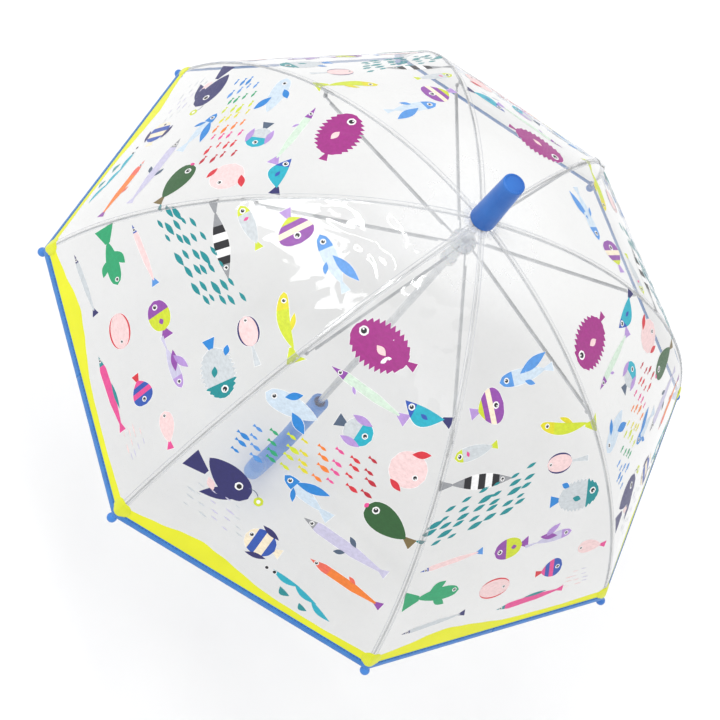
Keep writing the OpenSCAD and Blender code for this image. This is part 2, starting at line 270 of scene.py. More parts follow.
def drawn_steel(name, light, dark, roughness, along_z=1.0):
    """Bright steel with fine draw lines that run along the piece."""
    made, tree, shader = new_material(name)
    where = position(tree, scale=(1, 1, along_z))
    lines = grain(tree, where, 1400, 5, 0.6)
    patches = spread(tree, grain(tree, position(tree), 60), 0, 1)
    tree.links.new(blend_colours(tree, patches, dark, light), shader.inputs["Base Color"])
    tree.links.new(spread(tree, lines, roughness * 0.7, roughness * 1.4), shader.inputs["Roughness"])
    relief(tree, shader, lines, 0.2, 0.03 * MM)
    shader.inputs["Metallic"].default_value = 1.0
    return made


def clear_film(name, haze_low, haze_high, tint, gloss=0.045):
    """Clear vinyl: a faint milky haze, more milky white at the crown as painted sheen, and creases that mirror the
    lamps.
    """
    made, tree, milk = new_material(name)
    where = position(tree)
    cloudy = grain(tree, where, 14, 6, 0.65)
    fine = grain(tree, where, 90, 8, 0.6)
    milk.inputs["Base Color"].default_value = (0.93, 0.94, 0.95, 1)
    tree.links.new(spread(tree, fine, 0.3, 0.5), milk.inputs["Roughness"])
    through = add(tree, "ShaderNodeBsdfTransparent", {"Color": tint})
    from_axis = add(tree, "ShaderNodeVectorMath", operation="LENGTH")
    tree.links.new(position(tree, scale=(1, 1, 0)), from_axis.inputs[0])
    haze_and_sheen = add(tree, "ShaderNodeMath", operation="ADD")
    tree.links.new(spread(tree, cloudy, haze_low, haze_high), haze_and_sheen.inputs[0])
    # painted sheen: the film turns milkier towards the shaft's axis, standing in for the pale sheen at the crown
    tree.links.new(spread(tree, from_axis.outputs["Value"], CROWN_PAINTED_SHEEN, 0, *CROWN_PAINTED_SHEEN_SPAN), haze_and_sheen.inputs[1])
    hazy_and_sheen = add(tree, "ShaderNodeMixShader")
    tree.links.new(haze_and_sheen.outputs[0], hazy_and_sheen.inputs[0])
    tree.links.new(through.outputs[0], hazy_and_sheen.inputs[1])
    tree.links.new(milk.outputs[0], hazy_and_sheen.inputs[2])
    mirror = add(tree, "ShaderNodeBsdfPrincipled", {"Base Color": (1, 1, 1, 1), "Metallic": 1.0})
    tree.links.new(spread(tree, cloudy, gloss * 0.7, gloss * 1.6), mirror.inputs["Roughness"])
    creases = add(tree, "ShaderNodeTexNoise", {"Scale": 38, "Detail": 3, "Roughness": 0.5, "Distortion": 0.6},
                  noise_type="RIDGED_MULTIFRACTAL")
    tree.links.new(where, creases.inputs["Vector"])
    bump = add(tree, "ShaderNodeBump", {"Strength": 0.7, "Distance": 1.0 * MM})
    tree.links.new(creases.outputs["Fac"], bump.inputs["Height"])
    tree.links.new(bump.outputs[0], mirror.inputs["Normal"])
    fresnel = add(tree, "ShaderNodeFresnel", {"IOR": VINYL_IOR})
    glossy = add(tree, "ShaderNodeMixShader")
    tree.links.new(fresnel.outputs[0], glossy.inputs[0])
    tree.links.new(hazy_and_sheen.outputs[0], glossy.inputs[1])
    tree.links.new(mirror.outputs[0], glossy.inputs[2])
    tree.links.new(glossy.outputs[0], tree.nodes["Material Output"].inputs["Surface"])
    return made


def woven(name, light, dark, roughness, threads=1400, sheen=0.3):
    """Plain weave in the piece's own UV map, which is in metres."""
    made, tree, shader = new_material(name)
    where = position(tree, "UV")
    waves = []
    for direction in ("X", "Y"):
        wave = add(tree, "ShaderNodeTexWave", {"Scale": threads / WAVE_TURN, "Distortion": 0.6, "Detail": 1.0},
                   bands_direction=direction)
        tree.links.new(where, wave.inputs["Vector"])
        waves.append(wave.outputs["Fac"])
    weave = add(tree, "ShaderNodeMath", operation="MULTIPLY")
    tree.links.new(waves[0], weave.inputs[0])
    tree.links.new(waves[1], weave.inputs[1])
    worn = spread(tree, grain(tree, position(tree), 160), -0.15, 0.35)
    share = add(tree, "ShaderNodeMath", operation="ADD", use_clamp=True)
    tree.links.new(weave.outputs[0], share.inputs[0])
    tree.links.new(worn, share.inputs[1])
    tree.links.new(blend_colours(tree, share.outputs[0], dark, light), shader.inputs["Base Color"])
    tree.links.new(spread(tree, weave.outputs[0], roughness * 1.1, roughness * 0.85, 0, 1),
                   shader.inputs["Roughness"])
    relief(tree, shader, weave.outputs[0], 0.5, 0.15 * MM)
    shader.inputs["Sheen Weight"].default_value = sheen
    return made


def printed_ink(name):
    """Screen-print ink: its colour comes from the piece, with brushed light and dark strokes in it."""
    made, tree, shader = new_material(name)
    colour = add(tree, "ShaderNodeAttribute", attribute_name="ink")
    strokes = spread(tree, grain(tree, position(tree, scale=(1, 1, 2.2)), 260, 6, 0.7), 0.74, 0.98)
    shade = add(tree, "ShaderNodeVectorMath", operation="SCALE")
    tree.links.new(colour.outputs["Color"], shade.inputs[0])
    tree.links.new(strokes, shade.inputs["Scale"])
    tree.links.new(shade.outputs[0], shader.inputs["Base Color"])
    gloss = grain(tree, position(tree), 500)
    tree.links.new(spread(tree, gloss, 0.28, 0.5), shader.inputs["Roughness"])
    relief(tree, shader, gloss, 0.15, 0.05 * MM)
    return made


SHAFT_STEEL = drawn_steel("shaft_steel", linear(222, 224, 226), linear(192, 195, 199), 0.26, 0.04)
RIB_STEEL = drawn_steel("rib_steel", linear(222, 224, 226), linear(188, 190, 193), 0.3)
CHANNEL_STEEL = drawn_steel("channel_steel", linear(210, 212, 215), linear(172, 175, 179), 0.34)
WIRE_STEEL = drawn_steel("wire_steel", linear(180, 182, 185), linear(120, 122, 126), 0.3)
FERRULE_BLUE = moulded("ferrule_blue", linear(34, 108, 192), linear(22, 88, 172), 0.34)
HANDLE_BLUE = moulded("handle_blue", linear(84, 148, 224), linear(66, 130, 210), 0.38, subsurface_weight=0.05)
CAP_BLUE = moulded("cap_blue", linear(60, 130, 208), linear(44, 108, 190), 0.36)
NYLON = moulded("white_nylon", linear(243, 244, 245), linear(228, 230, 233), 0.42, subsurface_weight=0.1)
FILM = clear_film("clear_film", 0.04, 0.16, (0.80, 0.80, 0.79, 1))
SEAM_FILM = clear_film("seam_film", 0.05, 0.2, (0.97, 0.97, 0.97, 1), 0.08)
WELD = moulded("weld_grey", linear(196, 198, 202), linear(172, 175, 180), 0.4)
TAPE = woven("hem_tape", linear(52, 138, 210), linear(30, 102, 180), 0.72)
THREAD = woven("hem_thread", linear(30, 74, 140), linear(22, 54, 112), 0.75, 3000)
LIME = moulded("lime_band", linear(228, 229, 14), linear(220, 222, 8), 0.5, 700)
LIME_CLOTH = woven("lime_patch", linear(226, 230, 24), linear(204, 210, 12), 0.7)
STRAP = woven("strap_web", linear(242, 243, 242), linear(214, 217, 218), 0.62)
INK = printed_ink("film_print")

# ---------------------------------------------------------------- making pieces

on_film = {}            # each body's film panel, and after it everything welded, sewn or printed on it


def piece(name, bm, body, material, fold=None, smooth=True):
    """Turns a bmesh into a finished piece on a body. fold is the rib beside whose film it lies: such a piece gets
    its own mesh and is listed in on_film.
    """
    mesh = bpy.data.meshes.new(name)
    bm.to_mesh(mesh)
    bm.free()
    if smooth:
        mesh.shade_smooth()
    mesh.materials.append(material)
    made = bpy.data.objects.new(name, mesh)
    bpy.context.scene.collection.objects.link(made)
    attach(made, body)
    if fold:
        axis = UP.cross(outward(heading(fold)))
        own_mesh(made)
        on_film.setdefault(body, []).append(made)
    return made


def add_grid(bm, columns, rows, place, uv_place=None):
    """Adds a grid whose corners run from -1 to 1 both ways, moved to place(x, y). Returns its corners."""
    made = bmesh.ops.create_grid(bm, x_segments=columns, y_segments=rows, size=1)["verts"]
    if uv_place:
        uv = bm.loops.layers.uv.verify()
        for face in {f for v in made for f in v.link_faces}:
            for loop in face.loops:
                loop[uv].uv = uv_place(loop.vert.co.x, loop.vert.co.y)
    for v in made:
        v.co = place(v.co.x, v.co.y)
    return made


def between(low, high, y):
    """From high at y = -1 to low at y = 1, so that a grid's faces look outwards."""
    return (low + high) / 2 - (high - low) / 2 * y


# ---------------------------------------------------------------- film panels and their seams

FILM_CELL = (3.2 * MM, 3 * MM)  # a panel's grid, across and along


def film_panel(rib, part, start, end):
    """One rib's share of the film: half of the gore on each side of it."""
    rows = round((end - start) / FILM_CELL[1])
    columns = 2 * round(half_width(end) / FILM_CELL[0])
    bm = bmesh.new()
    add_grid(bm, columns, rows, lambda x, y: share_of_gores(rib, between(start, end, y), x))
    made = piece(f"film_{part}_{rib}", bm, f"rib_{part}_{rib}", FILM, fold=rib)
    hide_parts(f"canopy_{part}_{rib}")


def declare_film(rib, part, start, end):
    wide, long = 2 * half_width(end), end - start
    (half_width(start) + half_width(end)) * long


SEAM_HALF = 3.4 * MM
SEAM_SHARE = 0.7                # most of a gore's half width that a seam may take, near the crown
SEAM_LIFT = 0.3 * MM            # height of a seam's middle over the film
SEAM_ROLL = 0.15 * MM           # its fall from there to the edges
SEAM_CELL = 4 * MM
WELD_HALF = 0.24 * MM
WELD_SIDES = (-0.9, 0.62)       # places of the two weld lines, as shares of the seam's half width
WELD_LIFT, WELD_ROLL = 0.45, 0.12  # in millimetres


def seam(rib, part, start, end):
    """The folded seam along a rib, and the two weld lines at its edges."""
    rows = round((end - start) / SEAM_CELL)

    def reach(along):
        return min(SEAM_HALF, SEAM_SHARE * half_width(along))

    bm = bmesh.new()
    add_grid(bm, 6, rows, lambda x, y: beside_rib(
        rib, between(start, end, y), x * reach(between(start, end, y)), SEAM_LIFT - SEAM_ROLL * x * x))
    piece(f"seam_{part}_{rib}", bm, f"rib_{part}_{rib}", SEAM_FILM, fold=rib)
    bm = bmesh.new()
    for side in WELD_SIDES:
        def line(x, y, side=side):
            along = between(start, end, y)
            lift = (WELD_LIFT - WELD_ROLL * x * x) * MM
            return beside_rib(rib, along, side * reach(along) + x * WELD_HALF, lift)
        add_grid(bm, 2, rows, line)
    piece(f"weld_line_{part}_{rib}", bm, f"rib_{part}_{rib}", WELD, fold=rib)


PANELS = [(rib, *part) for rib in RIBS
          for part in (("inner", hole_along, flex_along), ("outer", flex_along, hem_along))]
for panel in PANELS:
    film_panel(*panel)
    seam(*panel)

# ---------------------------------------------------------------- hem: band, tape, stitches and corner patches

BAND_LOW = 9.5          # height of the lime band where it is narrow, in millimetres
BAND_BULGE = 14.5       # what its bulge adds to that
BULGE_AT = 0.29         # place of the bulge, as a share of a gore from the rib before it
BULGE_SPREAD = 0.19
BAND_LIFT = 0.12 * MM
TAPE_HALF = 4.2 * MM
TAPE_THICK = 1.0 * MM
TAPE_DROP = 0.55        # how far the tape's middle lies below the film's edge, as a share of its half width
PUCKER = 0.10           # share by which the tape swells between stitches
PUCKER_RATE = 55


def band_height(s):
    """Height of the lime band at a share of the gores beside a rib: a bulge after each tip, then narrow."""
    q = s / 2 if s >= 0 else 1 + s / 2
    bulge = math.exp(-(((q - BULGE_AT) / BULGE_SPREAD) ** 2))
    wave = math.sin(q * 31) * 0.4 + math.sin(q * 67 + 1) * 0.3
    rise_to_tip = 2.0 * smooth_step((q - 0.8) * 6)
    return (BAND_LOW + BAND_BULGE * bulge + wave * (0.4 + bulge) + rise_to_tip) * MM


def hem_span():
    return half_width(hem_along)


def lime_band(rib):
    bm = bmesh.new()
    add_grid(bm, 96, 8, lambda x, y: share_of_gores(
        rib, hem_along - band_height(x) * (1 + y) / 2, x, BAND_LIFT))
    piece(f"lime_band_{rib}", bm, f"rib_outer_{rib}", LIME, fold=rib)


def hem_tape(rib):
    """Bias tape folded over the film's edge: a flat tube along the hem."""
    bm = bmesh.new()

    def place(x, y):
        turn = math.pi * y
        along = hem_along + TAPE_HALF * TAPE_DROP - TAPE_HALF * math.cos(turn)
        puff = 1 + PUCKER * math.sin(x * PUCKER_RATE) * math.cos(turn)
        return share_of_gores(rib, along, x, TAPE_THICK * math.sin(turn) * puff)

    add_grid(bm, 88, 14, place, lambda x, y: (x * hem_span(), y * 2 * TAPE_HALF))
    bmesh.ops.remove_doubles(bm, verts=bm.verts, dist=DOUBLES)
    bmesh.ops.holes_fill(bm, edges=[e for e in bm.edges if e.is_boundary], sides=0)
    bmesh.ops.recalc_face_normals(bm, faces=bm.faces)
    piece(f"hem_tape_{rib}", bm, f"rib_outer_{rib}", TAPE, fold=rib)


STITCH = 2.6 * MM
STITCH_GAP = 0.9 * MM
STITCH_HALF = 0.3 * MM  # half the thread's width
STITCH_RISE = 0.25 * MM
STITCH_DROP = 0.22      # how far above the film's edge the row runs, as a share of the tape's half width


def hem_stitches(rib):
    """A row of stitches along the tape's upper edge."""
    bm = bmesh.new()
    count = int(2 * hem_span() / (STITCH + STITCH_GAP))
    for k in range(count):
        middle = ((k + 0.5) / count * 2 - 1) * hem_span()

        def place(x, y, middle=middle):
            wide = STITCH_HALF * math.sqrt(max(1 - x * x, 0.05))
            lift = TAPE_THICK * 0.93 + STITCH_RISE * (1 - x * x) * (1 - y * y)
            return beside_rib(rib, hem_along - TAPE_HALF * STITCH_DROP - y * wide, middle + x * STITCH / 2, lift)

        add_grid(bm, 4, 2, place, lambda x, y: (x * STITCH, y * MM))
    piece(f"hem_stitches_{rib}", bm, f"rib_outer_{rib}", THREAD, fold=rib)


PATCH_HALF = 9.5 * MM
PATCH_UP = 0.62         # how far the patch's middle lies above the film's edge, as a share of its half width
PATCH_LIFT = 0.15 * MM
PATCH_DOME = 1.5 * MM
PATCH_GATHER = 0.15 * MM
PATCH_FOLDS = 9


def corner_patch(rib):
    """Cloth patch over the film's corner, where the tip cap is sewn in."""
    bm = bmesh.new()

    def place(x, y):
        u, v = x * math.sqrt(1 - y * y / 2), y * math.sqrt(1 - x * x / 2)
        dome = (1 - (u * u + v * v)) ** 0.5 if u * u + v * v < 1 else 0
        gather = PATCH_GATHER * math.sin(PATCH_FOLDS * math.atan2(v, u + 1e-6)) * (u * u + v * v)
        along = hem_along - PATCH_HALF * PATCH_UP - PATCH_HALF * v
        return beside_rib(rib, along, PATCH_HALF * u, PATCH_LIFT + PATCH_DOME * dome + gather)

    add_grid(bm, 18, 18, place, lambda x, y: (x * PATCH_HALF, y * PATCH_HALF))
    piece(f"corner_patch_{rib}", bm, f"rib_outer_{rib}", LIME_CLOTH, fold=rib)


for rib in RIBS:
    lime_band(rib)
    hem_tape(rib)
    hem_stitches(rib)
    corner_patch(rib)

# ---------------------------------------------------------------- printed fish, laid out flat in millimetres

INK_COLOURS = {
    "white": (250, 250, 250), "black": (20, 20, 28), "magenta": (162, 34, 132), "plum": (146, 72, 168),
    "lilac": (182, 148, 214), "lavender": (204, 200, 226), "navy": (40, 38, 104), "royal": (40, 84, 178),
    "blue": (30, 132, 212), "sky": (84, 150, 222), "ice": (206, 222, 236), "teal": (0, 140, 146),
    "aqua": (18, 174, 196), "green": (36, 164, 110), "leaf": (40, 92, 44), "mint": (212, 232, 214),
    "lime": (208, 222, 40), "yellow": (226, 216, 24), "orange": (244, 128, 40), "coral": (240, 106, 84),
    "red": (216, 40, 56), "pink": (232, 72, 148), "blush": (246, 214, 214), "cream": (250, 236, 208),
    "grey": (150, 152, 156), "mist": (206, 212, 216), "slate": (78, 96, 120), "brown": (122, 104, 62),
    "crimson": (190, 24, 48),
}
INK_LIFT = 0.16 * MM
INK_LAYER = 0.07 * MM
RIM = 0.9               # width that the white underprint adds to a shape, in millimetres
SCHOOL_SEED = 2         # fixes the scatter of the schools, which noise_vector would take from the clock
EYE_GROW = 1.2
PUPIL = 0.62            # a pupil's radius, as a share of its eye's
GLINT = 0.2

noise.seed_set(SCHOOL_SEED)


def oval(u):
    return math.sqrt(max(1 - (2 * u - 1) ** 2, 0))


def lens(u):
    return math.sin(math.pi * u)


def drop(u):
    return 2.38 * u**0.5 * (1 - u) ** 0.8


def needle(u):
    return min(1, 5 * u, 0.25 + 2.2 * (1 - u))


def fan(u):
    return 0.25 + 0.75 * u


def spiky(u):
    return oval(u) * (0.86 + 0.24 * abs(((u * 11) % 1) * 2 - 1))


def plain(colour):
    return lambda u, side: colour


def bands(*colours):
    """Cross stripes of equal width from head to tail."""
    return lambda u, side: colours[min(int(u * len(colours)), len(colours) - 1)]


def head_and_body(head, body, share=0.28):
    return lambda u, side: head if u < share else body


def edged(edge, body, share=0.72):
    return lambda u, side: edge if abs(side) > share else body


def leaf(ink, base, at, turn, size, shape, paint, layer=1, cells=(14, 6), bend=0.0, one_sided=False):
    """One flat shape of ink: a grid pinched to an outline, painted face by face."""
    tint = ink.loops.layers.float_color["ink"]
    made = bmesh.ops.create_grid(ink, x_segments=cells[0], y_segments=cells[1], size=1)["verts"]
    for face in {f for v in made for f in v.link_faces}:
        middle = face.calc_center_median()
        colour = linear(*INK_COLOURS[paint((middle.x + 1) / 2, middle.y)])
        for loop in face.loops:
            loop[tint] = colour
    place = base @ Matrix.Translation((*at, 0)) @ Matrix.Rotation(math.radians(turn), 4, "Z")
    for v in made:
        u, side = (v.co.x + 1) / 2, v.co.y
        if one_sided:       # a fifth of the width stays on the flat side of the middle line
            side = (side + 1) * 0.9 - 0.2
        y = side * size[1] / 2 * shape(u) + bend * size[0] * (lens(u) - 0.5)
        v.co = place @ Vector((size[0] * (u - 0.5), y, layer))


def disc(ink, base, at, radius, colour, layer):
    leaf(ink, base, at, 0, (2 * radius, 2 * radius), oval, plain(colour), layer, (6, 4))


def fish(ink, across, along, turn, size, shape, paint, tail=None, tail_size=(9, 13), eye=(0.2, 0.0, 2.3),
         fins=(), **how):
    """A fish with its head to the left at turn 0.

    across and along place its middle on the gore, and size is its length and width. eye is (share of the length,
    distance from the middle line, radius). Each fin is (x, y, turn, length, width, colour).
    """
    base = Matrix.Translation((across, along, 0)) @ Matrix.Rotation(math.radians(turn), 4, "Z")
    tail_at = ((size[0] + tail_size[0]) / 2 - 2, 0)
    if tail:
        leaf(ink, base, tail_at, 0, (tail_size[0] + RIM, tail_size[1] + RIM), fan, plain("white"), 0.1, (5, 2))
        leaf(ink, base, tail_at, 0, tail_size, fan, plain(tail), 0.5, (5, 4))
    for x, y, fin_turn, length, width, colour in fins:
        leaf(ink, base, (x, y), fin_turn, (length + RIM, width + RIM), lens, plain("white"), 0.1, (8, 2))
        leaf(ink, base, (x, y), fin_turn, (length, width), lens, plain(colour), 1.5, (8, 3))
    rim = {**how, "cells": (how.get("cells", (14, 6))[0], 2)}
    leaf(ink, base, (0, 0), 0, (size[0] + RIM, size[1] + RIM), shape, plain("white"), 0.1, **rim)
    leaf(ink, base, (0, 0), 0, size, shape, paint, **how)
    x, y, radius = size[0] * (eye[0] - 0.5), eye[1], EYE_GROW * eye[2]
    disc(ink, base, (x, y), radius, "white", 2)
    disc(ink, base, (x - 0.1, y), radius * PUPIL, "black", 3)
    disc(ink, base, (x - 0.25 * radius, y - 0.25 * radius), radius * GLINT, "white", 4)


SCHOOL_GAPS = 0.32      # noise above which a place in a school is left empty


def school(ink, corner, columns, rows, pitch, slant, size, turn, colours, tail=True):
    """Rows of small fish, each row shifted along by slant; colours run along the rows."""
    for k in range(columns):
        for r in range(rows):
            jitter = noise.noise_vector(Vector((k * 3.7, r * 5.3, 1.5)))
            if jitter.z > SCHOOL_GAPS:
                continue
            across = corner[0] + k * pitch[0] + r * slant[0] + jitter.x * pitch[0] * 0.4
            along = corner[1] + r * pitch[1] + k * slant[1] + jitter.y * pitch[1] * 0.5
            grow = 0.85 + 0.5 * jitter.x
            base = Matrix.Translation((across, along, 0)) @ Matrix.Rotation(math.radians(turn), 4, "Z")
            colour = colours[min(int(k * len(colours) / columns), len(colours) - 1)]
            leaf(ink, base, (0, 0), 0, (size[0] * grow, size[1] * grow), lens, plain(colour), 1, (6, 2))
            if tail:
                at = (size[0] * grow * 0.56, 0)
                leaf(ink, base, at, 0, (size[0] * 0.28, size[1] * 0.8), fan, plain(colour), 1, (2, 2))


def new_layout():
    ink = bmesh.new()
    ink.loops.layers.float_color.new("ink")
    return ink


def puffer_layout():
    """The gore with the magenta puffer at its top."""
    ink = new_layout()
    fish(ink, -22, 155, 0, (56, 43), spiky, plain("magenta"), "magenta", (10, 9), (0.17, -4, 3.8),
         [(3, 3, 20, 12, 7, "blush")], cells=(66, 8))
    fish(ink, -12, 196, 4, (72, 8), needle, head_and_body("plum", "mint", 0.2), "lilac", (10, 13),
         (0.13, 0, 1.9), [(-8, 6, 40, 8, 3, "lilac")], cells=(24, 3))
    fish(ink, 40, 182, -6, (38, 20), lens, head_and_body("royal", "aqua", 0.3), "navy", (9, 12), (0.2, 3, 2.6),
         [(2, 6, 15, 8, 4, "royal")], one_sided=True)
    fish(ink, 2, 231, 180, (27, 25), oval, bands("aqua", "aqua", "mist", "mist"), "slate", (10, 13),
         (0.25, 0, 2.4), [(2, 11, 0, 20, 7, "lilac"), (2, -11, 0, 20, 7, "lilac")])
    fish(ink, -58, 243, -4, (50, 19), drop, plain("ice"), None, (8, 8), (0.16, -1, 2.3),
         [(12, 11, 35, 22, 9, "blue"), (-2, -9, -35, 16, 7, "blue")])
    school(ink, (-84, 280), 9, 4, (14, 8.5), (3, -4.0), (10, 3.8), 188,
           ("blue", "sky", "green", "lime", "yellow", "orange", "pink", "red", "crimson"))
    angler(ink, -69, 335)
    fish(ink, -8, 306, 14, (46, 12), drop, head_and_body("blue", "ice", 0.26), "ice", (12, 12), (0.15, 0, 2.2),
         [(3, -9, -25, 32, 9, "blue"), (-5, 8, 50, 14, 5, "blue")])
    fish(ink, 56, 236, 180, (34, 34), oval, plain("blush"), None, (8, 8), (0.24, -3, 2.4),
         [(-3, 18, 150, 17, 7, "red"), (2, -18, 200, 15, 6, "red")], cells=(14, 8))
    fish(ink, 66, 288, 10, (46, 26), drop, plain("leaf"), "brown", (10, 12), (0.2, -2, 3.0),
         [(-23, 0, 90, 6, 4, "pink")], cells=(16, 8))
    fish(ink, 46, 329, 4, (84, 11), needle, head_and_body("grey", "lavender", 0.14), "lavender", (8, 10),
         (0.11, 0, 2.0), [(6, -8, 30, 12, 5, "slate"), (2, 8, -30, 11, 5, "slate")], cells=(26, 3))
    fish(ink, -14, 372, 0, (30, 29), oval, bands("cream", "royal", "cream", "royal"), "cream", (8, 12),
         (0.16, -3, 2.4), [(3, 15, -15, 20, 6, "navy"), (3, -15, 15, 20, 6, "navy")], cells=(16, 8))
    fish(ink, 66, 361, 4, (72, 9), needle, head_and_body("coral", "orange", 0.3), "plum", (8, 10),
         (0.1, 0, 1.9), [(6, -6, 20, 10, 4, "coral")], cells=(24, 3))
    ribbon_eel(ink, 46, 396)
    school(ink, (-98, 352), 5, 4, (13, 9), (4, 0), (9, 1.6), 188, ("mist", "lavender", "mist"), tail=False)
    return ink


def angler(ink, across, along):
    """A dark deep-sea fish with a wide mouth and a lit lure."""
    turn = Matrix.Translation((across, along, 0)) @ Matrix.Rotation(math.radians(186), 4, "Z")
    leaf(ink, turn, (0, 3), 12, (50, 28), drop, plain("navy"), cells=(18, 8))
    leaf(ink, turn, (-4, -13), -38, (42, 13), lens, plain("navy"), cells=(14, 4))
    leaf(ink, turn, (28, -4), 8, (20, 21), fan, plain("navy"), 0.5, (6, 6))
    leaf(ink, turn, (9, -12), 40, (14, 7), lens, plain("blush"), 1.5, (8, 3))
    disc(ink, turn, (-11, 3), 4.0, "white", 2)
    disc(ink, turn, (-11.3, 3), 2.5, "black", 3)
    leaf(ink, turn, (-26, 6), 20, (16, 0.8), oval, plain("slate"), cells=(10, 2), bend=0.25)
    disc(ink, turn, (-33, 2), 4.6, "lime", 1)
    disc(ink, turn, (-33, 2), 2.0, "white", 2)


def ribbon_eel(ink, across, along):
    """A wavy teal ribbon with loose patches beside it."""
    base = Matrix.Translation((across, along, 0))
    for k, (x, y, turn) in enumerate(((-22, -4, 4), (0, 0, 16), (20, 8, 24))):
        leaf(ink, base, (x, y), turn, (29, 7 - k * 0.4), lens, plain("aqua"), cells=(10, 2), bend=0.09)
    leaf(ink, base, (-16, 9), 20, (13, 8), lens, plain("teal"), cells=(8, 3), one_sided=True)
    leaf(ink, base, (6, 14), 20, (11, 7), lens, plain("teal"), cells=(8, 3), one_sided=True)
    for x in (-42, -34):
        disc(ink, base, (x, -4), 2.4, "white", 1)
        disc(ink, base, (x, -4), 1.7, "black", 2)


def flying_layout():
    """The gore with the blue flying fish at its top."""
    ink = new_layout()
    fish(ink, 4, 146, -6, (50, 15), drop, head_and_body("sky", "ice", 0.28), "ice", (10, 9), (0.15, 0, 2.4),
         [(13, -9, -22, 34, 10, "sky"), (6, 8, 30, 12, 5, "sky")])
    fish(ink, -32, 169, 172, (27, 35), drop, bands("plum", "plum", "cream", "plum", "lime"), "lilac", (10, 12),
         (0.3, 0, 2.9), cells=(20, 8))
    fish(ink, 44, 202, 8, (52, 12), drop, head_and_body("yellow", "lime", 0.3), "lime", (14, 14),
         (0.15, -1, 2.1), [(2, -6, 20, 16, 5, "yellow")], cells=(20, 4), bend=0.09)
    fish(ink, -52, 208, -6, (40, 14), drop, head_and_body("lime", "mist", 0.22), "lime", (7, 9), (0.14, 0, 2.4),
         [(-6, 0, 80, 6, 3, "pink")])
    fish(ink, 40, 238, 2, (28, 21), oval, edged("navy", "blush", 0.84), "mist", (20, 6), (0.14, 0, 1.6),
         cells=(14, 12))
    stripes = bands("grey", "grey", "black", "white", "black", "white", "black", "grey", "grey")
    fish(ink, -44, 238, 186, (66, 15), lens, stripes, "grey", (12, 10), (0.17, 0, 2.0), cells=(27, 4))
    school(ink, (-92, 262), 7, 5, (17, 8.5), (-3.0, -4.5), (15, 4.6), 160, ("teal",), tail=False)
    fish(ink, 64, 277, 180, (46, 33), spiky, head_and_body("teal", "mist", 0.3), "blue", (11, 13),
         (0.16, 2, 3.0), [(16, 14, 30, 10, 6, "blue"), (2, -3, 20, 10, 6, "teal")], cells=(40, 8))
    fish(ink, -9, 318, -6, (30, 24), oval, head_and_body("plum", "lime", 0.4), "plum", (9, 14), (0.2, 1, 2.4),
         [(6, 0, 0, 6, 5, "plum")])
    fish(ink, 42, 318, 174, (40, 11), drop, head_and_body("lilac", "lavender", 0.3), "lavender", (14, 4),
         (0.16, 0, 2.0), [(2, 9, 150, 20, 7, "lilac"), (6, 3, 195, 20, 7, "plum")])
    fish(ink, 88, 342, 8, (28, 16), drop, plain("blush"), "pink", (8, 8), (0.14, 1, 1.6))
    fish(ink, 48, 359, 172, (24, 24), drop, bands("royal", "royal", "pink", "royal", "pink"), "red", (8, 9),
         (0.22, 0, 2.2), cells=(20, 6))
    fish(ink, -78, 352, 182, (44, 16), drop, plain("green"), "green", (16, 24), (0.12, 1, 2.0),
         [(2, 10, 150, 18, 9, "green"), (-2, -10, 215, 16, 8, "green")])
    fish(ink, -15, 365, 184, (34, 26), oval, edged("red", "blush", 0.86), None, (8, 8), (0.2, 0, 1.7),
         cells=(16, 14))
    fish(ink, 30, 396, -4, (70, 9), needle, head_and_body("teal", "pink", 0.14), "pink", (8, 9), (0.07, 0, 1.6),
         [(8, -5, 0, 26, 4, "teal")], cells=(28, 3))
    fish(ink, -78, 392, -6, (62, 6), needle, head_and_body("navy", "mist", 0.16), "navy", (7, 9), (0.1, 0, 1.5),
         cells=(20, 2))
    fish(ink, -72, 316, -6, (60, 6), needle, head_and_body("royal", "blush", 0.16), "sky", (7, 9), (0.1, 0, 1.5),
         cells=(20, 2))
    school(ink, (70, 372), 3, 4, (10, 7), (2, 0), (9, 1.3), 180, ("blush", "lavender"), tail=False)
    return ink


def quarter(layout, right, outer):
    """A copy of a layout, cut to one side of the gore's middle and one side of the ribs' flex joint."""
    cut = layout.copy()
    for co, no, keep_far in (((0, 0, 0), (1, 0, 0), right), ((0, flex_along / MM, 0), (0, 1, 0), outer)):
        bmesh.ops.bisect_plane(cut, geom=[*cut.verts, *cut.edges, *cut.faces], dist=1e-4, plane_co=co,
                               plane_no=no, clear_outer=not keep_far, clear_inner=keep_far)
    mesh = bpy.data.meshes.new("flat_print")
    cut.to_mesh(mesh)
    cut.free()
    return mesh


def print_fish():
    layouts = {1: puffer_layout(), 0: flying_layout()}
    for part, outer in (("inner", False), ("outer", True)):
        flat = {(odd, right): quarter(layout, right, outer) for odd, layout in layouts.items()
                for right in (False, True)}
        for rib in RIBS:
            bm = bmesh.new()
            for gore, right in (((rib - 2) % 8 + 1, True), (rib, False)):
                start = len(bm.verts)
                bm.from_mesh(flat[gore % 2, right])
                bm.verts.ensure_lookup_table()
                for v in bm.verts[start:]:
                    lift = INK_LIFT + v.co.z * INK_LAYER
                    v.co = across_gores(gore, v.co.y * MM, v.co.x * MM, lift)
            bmesh.ops.reverse_faces(bm, faces=bm.faces)
            piece(f"fish_print_{part}_{rib}", bm, f"rib_{part}_{rib}", INK, fold=rib)
        for mesh in flat.values():
            bpy.data.meshes.remove(mesh)
    for layout in layouts.values():
        layout.free()


print_fish()

# ---------------------------------------------------------------- crown and strap

GATHER_HOLE = 4.2 * MM          # radius round the shaft
GATHER_OUT = 3.5 * MM           # how far the ruffle stands out past the crown patch
GATHER_HELD = 9 * MM            # radius that the ferrule presses flat
GATHER_LIFT = 0.3 * MM
GATHER_WAVE, GATHER_RISE = 0.9 * MM, 0.5 * MM
GATHER_FALL = 1.6               # how far the disc drops with the dome, in millimetres, by the radius at FALL_AT
FALL_AT = 0.05


